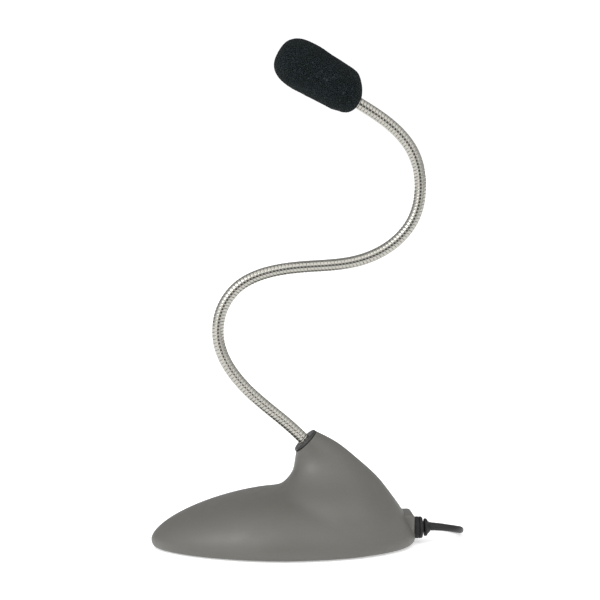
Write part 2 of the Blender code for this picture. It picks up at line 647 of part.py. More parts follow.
base_shell()
base_plate()
ballast()
feet_and_screws()
neck_fixing()
cord_anchor()
gooseneck()
head()
windscreen()
strain_relief()
free_cord()
plug()
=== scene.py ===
"""Looks of a desktop microphone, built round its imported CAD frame.

Metres, +Z up, nose of the base towards -X, cord towards +X. The gooseneck is bent in the plane
Y = 0. Sizes in the tables below are in millimetres and are turned into metres by MM.
"""

import json
import math

import bmesh
import bpy
import numpy as np
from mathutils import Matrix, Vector, noise
from mathutils.bvhtree import BVHTree


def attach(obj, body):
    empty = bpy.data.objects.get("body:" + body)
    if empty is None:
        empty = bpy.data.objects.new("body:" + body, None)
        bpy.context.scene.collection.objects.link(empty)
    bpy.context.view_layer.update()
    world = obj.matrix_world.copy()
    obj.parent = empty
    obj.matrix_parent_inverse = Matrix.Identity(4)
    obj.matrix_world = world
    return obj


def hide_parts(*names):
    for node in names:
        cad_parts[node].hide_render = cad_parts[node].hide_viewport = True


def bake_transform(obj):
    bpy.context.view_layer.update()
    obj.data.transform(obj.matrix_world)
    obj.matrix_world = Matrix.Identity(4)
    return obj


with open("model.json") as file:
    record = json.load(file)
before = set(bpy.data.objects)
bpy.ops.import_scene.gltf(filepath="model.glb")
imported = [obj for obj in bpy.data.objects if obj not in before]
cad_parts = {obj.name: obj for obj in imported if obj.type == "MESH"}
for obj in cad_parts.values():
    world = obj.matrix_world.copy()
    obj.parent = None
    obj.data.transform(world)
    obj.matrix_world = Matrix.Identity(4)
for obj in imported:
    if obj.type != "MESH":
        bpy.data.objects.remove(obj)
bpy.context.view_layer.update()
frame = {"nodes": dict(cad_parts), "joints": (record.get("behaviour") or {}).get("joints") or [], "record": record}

MM = 0.001
SMOOTH_ANGLE = math.radians(34)

# ---- sizes, as in the CAD model or close to it ----

BASE_X = -2.0 * MM  # the middle of the base
BASE_LENGTH = 134.4 * MM
BASE_WIDTH = 79.0 * MM
DOME_TOP = 30.3 * MM
NOSE_POWER = 1.65  # the outline's roundness: 2 is an ellipse, and less is more pointed
TAIL_POWER = 2.1
EDGE_Z = 3.6 * MM  # height of the widest outline, which drops by this much to the tail
EDGE_DROP = 1.2 * MM
RIM_Z = 0.6 * MM
RIM_INSET = 2.6 * MM
WALL = 2.4 * MM
SIDE_WALL = 4.9 * MM
GAP = 0.3 * MM

# Fin sections below the round top, going down: front x, z, back x, z, half width, all in mm.
FIN_TOP_RADIUS = 7.2
FIN_SECTIONS = (
    (3.1, 42.0, 24.5, 52.6, 8.6),
    (1.7, 37.2, 34.7, 44.4, 12.0),
    (-2.6, 31.6, 44.4, 35.5, 18.5),
    (-10.0, 24.0, 52.5, 25.5, 27.5),
    (-17.0, 13.0, 60.3, 13.8, 31.5),
    (-21.6, 4.3, 64.7, 3.4, 29.6),
)
FIN_TEARDROP = 0.12  # how much wider the lowest section is behind than in front
FIN_BLUNT = 0.6  # how much squarer than an ellipse the sections are in front
BLOCK_LOW = Vector((49.0, -8.5, 3.0)) * MM
BLOCK_HIGH = Vector((63.6, 8.5, 16.2)) * MM

SCREW_PLACES = ((-44.0, 9.0), (22.0, 26.5))
FOOT_PLACES = ((-28.0, 20.0), (42.0, 15.0))
PLATE_Z = (0.9 * MM, 2.9 * MM)
CLAMP_X = 51.0 * MM
CLAMP_SCREW_Y = 5.6 * MM

# The neck's centreline from the collar to the head, as x, z in mm.
NECK_POINTS = (
    (9.1, 53.1), (0.8, 61.1), (-7.8, 68.4), (-25.9, 85.9), (-34.5, 103.0), (-33.6, 119.0),
    (-24.9, 131.8), (-7.7, 139.4), (11.3, 141.7), (32.9, 143.8), (51.1, 151.5),
    (63.2, 165.5), (66.3, 181.0), (62.4, 198.5), (51.5, 211.6), (35.4, 222.6),
)
NECK_RADIUS = 3.0 * MM
NECK_JOINTS = 10
FIRST_JOINT = 9.0 * MM
LAST_JOINT = 7.0 * MM
NECK_BELOW = 16.0 * MM
NECK_IN_HEAD = 6.0 * MM

HEAD_TILT = math.radians(30.0)
# The windscreen, in mm along the head's axis and across it.
FOAM_LENGTH = 47.5
FOAM_RADIUS = 12.4
FOAM_REAR_RADIUS = 11.5
FOAM_REAR = 13.0
FOAM_WIDEST = 31.0
FOAM_REAR_POWER = 2.05
FOAM_FRONT_POWER = 2.7
FOAM_OFFSET = 2.1  # how far its middle lies above the axis
HOUSING_RADIUS = 6.9

CORD_RADIUS = 1.8 * MM
CORD_Z = 7.8
CORD_START = (72.2, 0.0, CORD_Z)
CORD_RUN = (
    (77.5, 0.1, 7.6), (82.5, 1.2, 6.8), (87.0, 4.4, 5.4), (89.6, 9.3, 3.9),
    (89.9, 15.0, 2.6), (87.6, 20.4, 1.95), (83.2, 24.8, 1.9), (77.6, 28.4, 1.9),
    (70.5, 32.6, 1.95), (62.5, 37.3, 2.1), (54.0, 41.2, 2.4), (45.9, 42.9, 2.7),
)
CORD_TAIL = ((14.1, 43.2, 6.0), (10.8, 44.2, 5.4), (6.8, 45.3, 4.8), (2.7, 45.7, 4.6), (0.4, 45.7, 4.6))
COIL_CENTRE = (30.0, 73.0)
COIL_INNER = 12.0
COIL_OUTER = 30.0
COIL_TURNS = 10
COIL_LOW_Z = 2.7
COIL_HIGH_Z = 6.3
TIE_WIDTH = 4.0
TIE_THICK = 0.6
PLUG_START = Vector((2.0, 45.7, 4.6)) * MM


# ---- mesh helpers ----


def add_object(name, data):
    obj = bpy.data.objects.new(name, data)
    bpy.context.scene.collection.objects.link(obj)
    return obj


def shade(data, angle=SMOOTH_ANGLE):
    data.shade_smooth()
    data.set_sharp_from_angle(angle=angle)
    return data


def skin(name, rings, loop=False, caps=True, angle=SMOOTH_ANGLE):
    """A skin over rings of points, all with the same count. It ends in caps, or joins up as a loop."""
    rings = np.asarray(rings, float)
    rows, sides = rings.shape[:2]
    index = np.arange(rows * sides).reshape(rows, sides)
    lower = index if loop else index[:-1]
    upper = np.roll(index, -1, axis=0) if loop else index[1:]
    faces = np.stack(
        [lower, np.roll(lower, -1, axis=1), np.roll(upper, -1, axis=1), upper], axis=-1
    ).reshape(-1, 4).tolist()
    if caps and not loop:
        faces += [index[0][::-1].tolist(), index[-1].tolist()]
    data = bpy.data.meshes.new(name)
    data.from_pydata(rings.reshape(-1, 3).tolist(), [], faces)
    fix_normals(data)
    return add_object(name, shade(data, angle))


def fix_normals(data):
    mesh = bmesh.new()
    mesh.from_mesh(data)
    bmesh.ops.recalc_face_normals(mesh, faces=mesh.faces[:])
    mesh.to_mesh(data)
    mesh.free()


def axes_about(direction):
    along = Vector(direction).normalized()
    side = Vector((0, 1, 0)) if abs(along.y) < 0.9 else Vector((1, 0, 0))
    up = along.cross(side).normalized()
    return along, up.cross(along), up


def ring_about(centre, direction, radius, sides):
    _, side, up = axes_about(direction)
    turns = np.linspace(0, 2 * math.pi, sides, endpoint=False)[:, None]
    return np.array(centre) + radius * (np.cos(turns) * np.array(side) + np.sin(turns) * np.array(up))


def rounded(profile, radius, closed=False, steps=4):
    """The profile with each corner turned into a small arc."""
    points = [Vector(p) for p in profile]
    out = []
    for i, corner in enumerate(points):
        if not closed and i in (0, len(points) - 1):
            out.append(tuple(corner))
            continue
        before, after = points[i - 1] - corner, points[(i + 1) % len(points)] - corner
        reach = min(radius, 0.45 * before.length, 0.45 * after.length)
        start = corner + before.normalized() * reach
        end = corner + after.normalized() * reach
        for k in range(steps + 1):
            t = k / steps
            out.append(tuple(start * (1 - t) ** 2 + corner * 2 * t * (1 - t) + end * t**2))
    return out


def lathe(name, start, direction, profile, radius=0.2, sides=72, loop=False, angle=SMOOTH_ANGLE):
    """A turned piece. The profile lists distance along the axis and radius, in mm."""
    along = Vector(direction).normalized()
    rings = [
        ring_about(Vector(start) + s * MM * along, along, max(r, 0.02) * MM, sides)
        for s, r in rounded(profile, radius, closed=loop)
    ]
    return skin(name, rings, loop, angle=angle)


def block(name, low, high, bevel=0.0, segments=4):
    mesh = bmesh.new()
    bmesh.ops.create_cube(mesh, size=1.0)
    bmesh.ops.scale(mesh, vec=Vector(high) - Vector(low), verts=mesh.verts)
    bmesh.ops.translate(mesh, vec=(Vector(low) + Vector(high)) / 2, verts=mesh.verts)
    if bevel:
        bmesh.ops.bevel(mesh, geom=mesh.edges[:], offset=bevel, segments=segments, affect="EDGES", profile=0.5)
    data = bpy.data.meshes.new(name)
    mesh.to_mesh(data)
    mesh.free()
    return add_object(name, shade(data))


def baked(obj):
    """The object with the result of its modifiers as its mesh."""
    graph = bpy.context.evaluated_depsgraph_get()
    made = bpy.data.meshes.new_from_object(obj.evaluated_get(graph))
    obj.modifiers.clear()
    obj.data = made
    return obj


def boolean(obj, cutters, operation="DIFFERENCE"):
    """Joins or cuts with the other objects, which are used up."""
    for cutter in cutters:
        step = obj.modifiers.new(operation.lower(), "BOOLEAN")
        step.operation = operation
        step.object = cutter
    baked(obj)
    for cutter in cutters:
        bpy.data.objects.remove(cutter)
    return obj


def smooth_curve(points, step):
    """A natural cubic spline through the points, read every step along its length."""
    knots = np.array(points, float)
    lengths = np.linalg.norm(np.diff(knots, axis=0), axis=1)
    t = np.concatenate([[0.0], np.cumsum(lengths)])
    n = len(knots)
    system = np.eye(n)
    right = np.zeros_like(knots)
    for i in range(1, n - 1):
        h, k = lengths[i - 1], lengths[i]
        system[i, i - 1 : i + 2] = h, 2 * (h + k), k
        right[i] = 6 * ((knots[i + 1] - knots[i]) / k - (knots[i] - knots[i - 1]) / h)
    bends = np.linalg.solve(system, right)
    fine = np.linspace(0, t[-1], 6000)
    i = np.clip(np.searchsorted(t, fine, side="right") - 1, 0, n - 2)
    h = lengths[i][:, None]
    a = (t[i + 1] - fine)[:, None] / h
    b = 1 - a
    dense = a * knots[i] + b * knots[i + 1]
    dense += ((a**3 - a) * bends[i] + (b**3 - b) * bends[i + 1]) * h**2 / 6
    run = np.concatenate([[0.0], np.cumsum(np.linalg.norm(np.diff(dense, axis=0), axis=1))])
    places = np.linspace(0, run[-1], max(2, round(run[-1] / step) + 1))
    return np.stack([np.interp(places, run, dense[:, k]) for k in range(dense.shape[1])], axis=1)


class Neck:
    """The gooseneck's centreline, straight beyond both ends, read by distance from the collar."""

    def __init__(self):
        flat = smooth_curve(NECK_POINTS, 0.2) * MM
        self.points = np.stack([flat[:, 0], np.zeros(len(flat)), flat[:, 1]], axis=1)
        steps = np.linalg.norm(np.diff(self.points, axis=0), axis=1)
        self.run = np.concatenate([[0.0], np.cumsum(steps)])
        self.length = float(self.run[-1])

    def curve_point(self, s):
        return Vector([float(np.interp(s, self.run, self.points[:, k])) for k in range(3)])

    def direction(self, s):
        near = min(max(s, 0.0), self.length)
        a, b = max(near - 0.5 * MM, 0.0), min(near + 0.5 * MM, self.length)
        return (self.curve_point(b) - self.curve_point(a)).normalized()

    def point(self, s):
        near = min(max(s, 0.0), self.length)
        return self.curve_point(near) + self.direction(near) * (s - near)


neck = Neck()
ROOT_POINT, ROOT_DIRECTION = neck.point(0.0), neck.direction(0.0)
HEAD_POINT = neck.point(neck.length)
HEAD_DIRECTION = Vector((-math.cos(HEAD_TILT), 0, math.sin(HEAD_TILT)))
HEAD_UP = Vector((math.sin(HEAD_TILT), 0, math.cos(HEAD_TILT)))


# ---- materials ----


class Look:
    """A node material on object coordinates, built up step by step."""

    def __init__(self, name, **constants):
        self.material = bpy.data.materials.new(name)
        self.material.use_nodes = True
        self.tree = self.material.node_tree
        self.shader = self.tree.nodes["Principled BSDF"]
        for socket, value in constants.items():
            self.shader.inputs[socket.replace("_", " ")].default_value = value
        self.place = self.tree.nodes.new("ShaderNodeTexCoord").outputs["Object"]

    def node(self, kind, inputs=(), **settings):
        made = self.tree.nodes.new("ShaderNode" + kind)
        for name, value in settings.items():
            setattr(made, name, value)
        for socket, value in dict(inputs).items():
            if isinstance(value, bpy.types.NodeSocket):
                self.tree.links.new(value, made.inputs[socket])
            else:
                made.inputs[socket].default_value = value
        return made

    def noise(self, scale, detail=3.0, roughness=0.5):
        return self.node(
            "TexNoise", {"Vector": self.place, "Scale": scale, "Detail": detail, "Roughness": roughness}
        ).outputs["Fac"]

    def cells(self, scale, feature="F1"):
        return self.node(
            "TexVoronoi", {"Vector": self.place, "Scale": scale}, feature=feature
        ).outputs["Distance"]

    def spread(self, value, low, high, from_low=0.3, from_high=0.7):
        return self.node(
            "MapRange",
            {"Value": value, "From Min": from_low, "From Max": from_high, "To Min": low, "To Max": high},
        ).outputs["Result"]

    def shades(self, value, *stops):
        """Colours by value: each stop is a position and a linear colour."""
        ramp = self.node("ValToRGB", {"Fac": value})
        band = ramp.color_ramp
        while len(band.elements) < len(stops):
            band.elements.new(0.5)
        for element, (position, colour) in zip(band.elements, stops):
            element.position = position
            element.color = (*colour, 1.0)
        return ramp.outputs["Color"]

    def mix(self, factor, first, second, blend_type="MIX"):
        made = self.node("Mix", data_type="RGBA", blend_type=blend_type)
        for socket, value in zip((made.inputs[0], made.inputs[6], made.inputs[7]), (factor, first, second)):
            if isinstance(value, bpy.types.NodeSocket):
                self.tree.links.new(value, socket)
            else:
                socket.default_value = value if isinstance(value, float) else (*value, 1.0)
        return made.outputs[2]

    def bump(self, height, distance, strength=1.0, below=None):
        inputs = {"Height": height, "Distance": distance, "Strength": strength}
        if below:
            inputs["Normal"] = below
        return self.node("Bump", inputs).outputs["Normal"]

    def connect(self, **sockets):
        for socket, value in sockets.items():
            self.tree.links.new(value, self.shader.inputs[socket.replace("_", " ")])
        return self.material


def moulded(name, dark, light, roughness, grain=2600.0, depth=0.02 * MM, **constants):
    """Moulded plastic or rubber: slow colour variation, a spark-eroded grain and uneven gloss."""
    look = Look(name, **constants)
    slow, fine = look.noise(28.0, 4.0), look.noise(grain, 2.0)
    colour = look.shades(slow, (0.32, dark), (0.68, light))
    speck = look.shades(fine, (0.3, (0.9, 0.9, 0.9)), (0.7, (1.0, 1.0, 1.0)))
    gloss = look.spread(look.noise(170.0, 5.0), roughness - 0.05, roughness + 0.05)
    return look.connect(
        Base_Color=look.mix(1.0, colour, speck, "MULTIPLY"),
        Roughness=gloss,
        Normal=look.bump(fine, depth),
    )


def metal(name, dark, light, roughness, scratch=900.0, depth=0.004 * MM):
    """Plated or machined metal: cloudy tone, fine scratches, uneven gloss."""
    look = Look(name, Metallic=1.0)
    cloud, fine = look.noise(160.0, 4.0), look.noise(scratch, 6.0, 0.7)
    return look.connect(
        Base_Color=look.shades(cloud, (0.3, dark), (0.7, light)),
        Roughness=look.spread(fine, roughness - 0.06, roughness + 0.08),
        Normal=look.bump(fine, depth),
    )


def wound_steel():
    """The neck's turns: satin nickel, with painted shade in the grooves between them."""
    look = Look("neck_steel", Metallic=1.0)
    groove_shade = look.node("Attribute", attribute_name="groove_shade").outputs["Fac"]
    cloud, fine = look.noise(220.0, 4.0), look.noise(1500.0, 6.0, 0.7)
    bright = look.shades(cloud, (0.3, (0.365, 0.358, 0.325)), (0.7, (0.415, 0.407, 0.37)))
    return look.connect(
        # The base colour mixes in a dark colour by the groove mask: painted shade in the grooves between the turns.
        Base_Color=look.mix(groove_shade, bright, (0.15, 0.143, 0.125)),
        Roughness=look.spread(fine, 0.10, 0.16),
        Normal=look.bump(fine, 0.001 * MM),
    )


def open_foam():
    """Open-cell foam: the pores are painted darker than the lighter strands between them, as painted shade in the
    holes.
    """
    look = Look("black_foam", Roughness=0.9, Specular_IOR_Level=0.06, Sheen_Weight=0.01, Sheen_Roughness=0.6)
    pores, fine = look.cells(1250.0, "DISTANCE_TO_EDGE"), look.cells(3000.0)
    # Colour by distance to the cell edges: lightest on the strands, darkest in the middle of each pore, as painted
    # shade in the holes.
    pore_shade = look.shades(
        pores, (0.0, (0.034, 0.046, 0.050)), (0.06, (0.0075, 0.011, 0.012)), (0.2, (0.001, 0.0018, 0.0022))
    )
    tone = look.shades(look.noise(90.0, 4.0), (0.3, (0.75, 0.75, 0.75)), (0.7, (1.0, 1.0, 1.0)))
    rough = look.bump(fine, 0.10 * MM, 0.6)
    inverse = look.spread(pores, 1.0, 0.0, 0.0, 0.35)
    return look.connect(
        Base_Color=look.mix(1.0, pore_shade, tone, "MULTIPLY"),
        Normal=look.bump(inverse, 0.22 * MM, 0.9, rough),
    )


SHELL = moulded("shell_plastic", (0.092, 0.0895, 0.080), (0.100, 0.097, 0.087), 0.44, 2200.0, 0.012 * MM)
BLACK_PLASTIC = moulded("black_plastic", (0.016, 0.016, 0.0155), (0.021, 0.021, 0.020), 0.38, 1800.0, 0.006 * MM)
RUBBER = moulded("black_rubber", (0.0055, 0.006, 0.006), (0.0085, 0.009, 0.009), 0.55, 1500.0, 0.01 * MM,
                 Specular_IOR_Level=0.3)
CABLE = moulded("cable_jacket", (0.005, 0.005, 0.005), (0.008, 0.008, 0.008), 0.42, 700.0, 0.012 * MM,
                Specular_IOR_Level=0.35)
STEEL = wound_steel()
ZINC = metal("zinc_steel", (0.5, 0.5, 0.5), (0.62, 0.62, 0.64), 0.34)
IRON = metal("ballast_iron", (0.06, 0.058, 0.055), (0.11, 0.105, 0.10), 0.62, 400.0, 0.08 * MM)
NICKEL = metal("plug_contact", (0.7, 0.69, 0.66), (0.8, 0.79, 0.76), 0.16)
FOAM = open_foam()

MATERIALS = {
    "shell_plastic": SHELL, "black_plastic": BLACK_PLASTIC, "black_rubber": RUBBER,
    "cable_jacket": CABLE, "neck_steel": STEEL, "zinc_steel": ZINC, "ballast_iron": IRON,
    "plug_contact": NICKEL, "black_foam": FOAM,
}


def wear(obj, slot):
    obj.data.materials.clear()
    obj.data.materials.append(MATERIALS[slot])


def piece(obj, body, slot, *nodes):
    """Gives a new piece its material and body, and hides the CAD nodes that it stands for."""
    wear(obj, slot)
    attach(obj, body)
    if nodes:
        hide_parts(*nodes)
    return obj


# ---- camera ----

CAMERA_TARGET = Vector((5.99, 0.0, 124.86)) * MM
CAMERA_AZIMUTH = math.radians(-5.0)
CAMERA_PITCH = math.radians(6.5)
CAMERA_DISTANCE = 1.0
back = Vector((
    math.sin(CAMERA_AZIMUTH) * math.cos(CAMERA_PITCH),
    -math.cos(CAMERA_AZIMUTH) * math.cos(CAMERA_PITCH),
    math.sin(CAMERA_PITCH),
))
camera = add_object("camera", bpy.data.cameras.new("camera"))
camera.data.sensor_width = 36.0
camera.data.lens = 120.0
camera.location = CAMERA_TARGET + back * CAMERA_DISTANCE
camera.rotation_euler = (-back).to_track_quat("-Z", "Y").to_euler()
bpy.context.scene.camera = camera


# ---- cord, coil, tie and plug ----


def coil_points(per_turn=24):
    """Two layers of turns, wound in along the bottom and out along the top."""
    points = []
    for i in range(COIL_TURNS * per_turn + 1):
        turns = i / per_turn
        half = COIL_TURNS / 2
        radius = COIL_INNER + (COIL_OUTER - COIL_INNER) * abs(turns - half) / half
        lift = min(max((turns - half + 0.15) / 0.3, 0.0), 1.0)
        lift = lift * lift * (3 - 2 * lift)
        angle = -math.pi / 2 - 2 * math.pi * turns
        points.append((
            COIL_CENTRE[0] + radius * math.cos(angle),
            COIL_CENTRE[1] + radius * math.sin(angle),
            COIL_LOW_Z + (COIL_HIGH_Z - COIL_LOW_Z) * lift,
        ))
    return points


def free_cord(with_pieces):
    route = smooth_curve([CORD_START, *CORD_RUN, *coil_points(), *CORD_TAIL], 1.6) * MM
    curve = bpy.data.curves.new("cord", "CURVE")
    curve.dimensions = "3D"
    curve.bevel_depth = CORD_RADIUS
    curve.bevel_resolution = 5
    curve.use_fill_caps = True
    spline = curve.splines.new("POLY")
    spline.points.add(len(route) - 1)
    for place, point in zip(spline.points, route):
        place.co = (*point, 1.0)
    cord = piece(add_object("cord", curve), "base", "cable_jacket", "cord_run", "cord_coil", "cord_tail")


def plug_pieces():
    def on_axis(name, profile, radius=0.15):
        return lathe(name, PLUG_START, (-1, 0, 0), profile, radius)

    grip = [(0, 0.02), (0, 2.5), (7, 3.6), (8, 4.4), (9.2, 4.5)]
    for i in range(5):
        s = 11.0 + 2.3 * i
        grip += [(s, 4.5), (s + 0.4, 4.1), (s + 1.0, 4.1), (s + 1.4, 4.5)]
    grip += [(24, 4.5), (25.4, 4.2), (26, 3.7), (26, 0.02)]
    body = piece(on_axis("plug_grip", grip, 0.25), "base", "black_plastic", "plug_body")
    sleeve = piece(
        on_axis("plug_sleeve_contact", [
            (26.0, 0.02), (26.3, 3.2), (27.0, 3.2), (27.0, 1.75), (34.2, 1.75), (34.4, 0.02),
        ]),
        "base", "plug_contact", "plug_sleeve",
    )
    ring = piece(on_axis("plug_ring_contact", [(35.2, 0.02), (35.2, 1.75), (37.2, 1.75), (37.2, 0.02)], 0.08),
                 "base", "plug_contact", "plug_ring")
    tip = piece(
        on_axis("plug_tip_contact", [
            (38.0, 0.02), (38.0, 1.2), (38.7, 1.1), (39.3, 1.6), (39.8, 1.7), (40.4, 1.2), (41.0, 0.5), (41.0, 0.02),
        ]),
        "base", "plug_contact", "plug_tip",
    )
    rings = [
        piece(on_axis(f"plug_washer_{i}", [(s, 0.02), (s, 1.72), (s + 0.8, 1.72), (s + 0.8, 0.02)], 0.05),
              "base", "black_plastic", f"plug_insulator_{i}")
        for i, s in ((1, 34.4), (2, 37.2))
    ]
    return [body, sleeve, ring, tip, *rings]


def tie():
    """A soft strap round the coil's turns, with its free end laid over its start."""
    low, high = COIL_INNER - 1.8, COIL_OUTER + 1.8
    middle, half = COIL_CENTRE[1] + (low + high) / 2, (high - low) / 2 + 0.3
    bottom, top = TIE_THICK, COIL_HIGH_Z + 1.8 + 0.3
    corner = 2.6
    centreline = []
    for y, z, start in (
        (middle + half - corner, bottom + corner, -90), (middle + half - corner, top - corner, 0),
        (middle - half + corner, top - corner, 90), (middle - half + corner, bottom + corner, 180),
    ):
        for step in range(9):
            angle = math.radians(start + 90 * step / 8)
            out = Vector((0, math.cos(angle), math.sin(angle)))
            centreline.append((Vector((0, y, z)) + out * (corner + TIE_THICK / 2), out))
    x, width, thick = COIL_CENTRE[0], TIE_WIDTH / 2, TIE_THICK / 2
    corners = [(-width, -thick), (width, -thick), (width, thick), (-width, thick)]
    section = rounded(corners, 0.2, closed=True, steps=2)
    rings = [[(place + out * h + Vector((x + w, 0, 0))) * MM for w, h in section] for place, out in centreline]
    return piece(skin("coil_strap", rings, loop=True), "base", "black_plastic", "cord_tie")


def boot():
    """The strain relief: a notched disc, a thinner one and a short cone round the cord."""
    inner = CORD_RADIUS / MM + 0.05
    profile = [
        (0, inner), (0, 4.5), (2.1, 4.5), (2.1, 3.0), (5.1, 3.0), (5.1, 5.5), (7.5, 5.6), (7.5, 5.0),
        (7.9, 5.0), (7.9, 5.6), (9.5, 5.4), (9.5, 2.4), (10.6, 2.4), (10.6, 4.5), (11.8, 4.5),
        (12.3, 3.5), (13.5, 2.4), (13.5, inner),
    ]
    return piece(lathe("cord_boot", (58.8 * MM, 0, CORD_Z * MM), (1, 0, 0), profile, 0.3, loop=True),
                 "base", "black_rubber", "strain_relief")


free_cord([tie(), *plug_pieces()])
boot()


# ---- base ----


def outline(turn, half_length, half_width):
    """The base's outline at one turn about its middle."""
    c, s = math.cos(turn), math.sin(turn)
    power = 2 / (NOSE_POWER if c < 0 else TAIL_POWER)
    x = math.copysign(abs(c) ** power, c) * half_length
    return x, math.copysign(abs(s) ** power, s) * half_width


def dome_rings(inset, top, sides, levels):
    """Rings of the dome from its widest outline up."""
    rings = []
    for level in np.radians(levels):
        ring = []
        for i in range(sides):
            turn = 2 * math.pi * i / sides
            x, y = outline(turn, BASE_LENGTH / 2 - inset, BASE_WIDTH / 2 - inset)
            power = 2 / (2.0 - 0.35 * max(-math.cos(turn), 0.0) ** 2)
            shrink, rise = math.cos(level) ** power, math.sin(level) ** power
            edge = EDGE_Z - EDGE_DROP * x / (BASE_LENGTH / 2)
            ring.append((BASE_X + x * shrink, y * shrink, edge + (top - edge) * rise))
        rings.append(ring)
    return rings


def edge_ring(inset, height, sides):
    """A ring below the widest outline. Height 1 is that outline, and height 0 is the rim."""
    ring = []
    for i in range(sides):
        turn = 2 * math.pi * i / sides
        x, y = outline(turn, BASE_LENGTH / 2 - inset, BASE_WIDTH / 2 - inset)
        edge = EDGE_Z - EDGE_DROP * x / (BASE_LENGTH / 2)
        ring.append((BASE_X + x, y, RIM_Z + (edge - RIM_Z) * height))
    return ring


def fin_outline(turn, blunt):
    """A fin section's outline at one turn: an ellipse behind, and in front squarer by as much as blunt."""
    c, s = math.cos(turn), math.sin(turn)
    power = 2 / (2.0 + blunt * math.sqrt(max(-c, 0.0)))
    return math.copysign(abs(c) ** power, c), math.copysign(abs(s) ** power, s)


def fin_rings(inset, first, count, sides, above=0.0):
    """Sections of the fin. Each is an egg between its front and back points."""
    middle_x, middle_z = NECK_POINTS[0]
    dx, dz = ROOT_DIRECTION.z * FIN_TOP_RADIUS, -ROOT_DIRECTION.x * FIN_TOP_RADIUS
    top = (middle_x - dx, middle_z - dz, middle_x + dx, middle_z + dz, FIN_TOP_RADIUS)
    sections = smooth_curve([top, *FIN_SECTIONS][first:], 0.5)
    rows = sections[np.linspace(0, len(sections) - 1, count).round().astype(int)]
    rings = []
    for row, (fx, fz, bx, bz, half_width) in enumerate(rows * MM):
        front, rear = Vector((fx, 0, fz)), Vector((bx, 0, bz))
        middle, half = (front + rear) / 2, (rear - front) / 2
        reach = half.length - inset
        lean = FIN_TEARDROP * row / (count - 1)
        ring = []
        for i in range(sides):
            c, wide = fin_outline(2 * math.pi * i / sides, FIN_BLUNT * min(1.0, 1.6 * row / (count - 1)))
            wide *= (half_width - inset) * (1 + lean * c)
            ring.append(middle + half.normalized() * reach * c + Vector((0, wide, 0)))
        rings.append(ring)
    if above:
        rings.insert(0, [point + ROOT_DIRECTION * above for point in rings[0]])
    return rings


def both_sides(places):
    return [(x * MM, side * y * MM) for x, y in places for side in (-1, 1)]


CREASE_REACH = (12.0 * MM, 5.0 * MM)  # how far from the line where fin and dome meet their skin is softened
CREASE_SIDE = 14.0 * MM  # the first reach holds at Y = 0, and the second from here out
CREASE_PASSES = 90
VOXEL = 0.6 * MM


def surface_tree(obj):
    data = obj.data
    return BVHTree.FromPolygons([v.co for v in data.vertices], [p.vertices for p in data.polygons])


def softened(obj, trees):
    """Smooths the skin near the line where the two surfaces meet, and lays the rest back on them."""
    data = obj.data
    co = np.empty(len(data.vertices) * 3)
    data.vertices.foreach_get("co", co)
    co = co.reshape(-1, 3)
    ends = np.empty(len(data.edges) * 2, int)
    data.edges.foreach_get("vertices", ends)
    ends = ends.reshape(-1, 2)
    laid, far = co.copy(), np.zeros(len(co))
    for i, point in enumerate(co):
        hits = [tree.find_nearest(Vector(point)) for tree in trees]
        laid[i] = min(hits, key=lambda hit: hit[3])[0]
        far[i] = max(hit[3] for hit in hits)
    both = np.concatenate([ends, ends[:, ::-1]])
    count = np.bincount(both[:, 0], minlength=len(co))[:, None]
    smooth = laid.copy()
    reach = np.interp(np.abs(laid[:, 1]), [0, CREASE_SIDE], CREASE_REACH)
    near = np.clip(1 - far / reach, 0, 1)[:, None]
    near = near * near * (3 - 2 * near)
    for _ in range(CREASE_PASSES):
        total = np.stack([np.bincount(both[:, 0], smooth[both[:, 1], k], len(co)) for k in range(3)], axis=1)
        smooth += 0.5 * near * (total / count - smooth)
    data.vertices.foreach_set("co", smooth.ravel())
    data.update()
    return obj


def shell():
    sides = 200
    below = [
        edge_ring(RIM_INSET * (1 - math.cos(a)), 1 - math.sin(a), sides)
        for a in np.radians(np.linspace(90, 9, 10))
    ]
    dome = skin("dome", below + dome_rings(0.0, DOME_TOP, sides, np.linspace(0, 88.5, 44)))
    fin = skin("fin", fin_rings(0.0, 0, 70, 120, above=3 * MM))
    trees = [surface_tree(dome), surface_tree(fin)]
    body = boolean(dome, [fin], "UNION")
    body.name = "shell"
    remesh = body.modifiers.new("remesh", "REMESH")
    remesh.mode = "VOXEL"
    remesh.voxel_size = VOXEL
    softened(baked(body), trees)
    boolean(body, [block("tail_block", BLOCK_LOW, BLOCK_HIGH, 2.0 * MM, 6)], "UNION")
    boolean(body, shell_cutters())
    shade(body.data)
    return piece(body, "base", "shell_plastic", "base_shell")


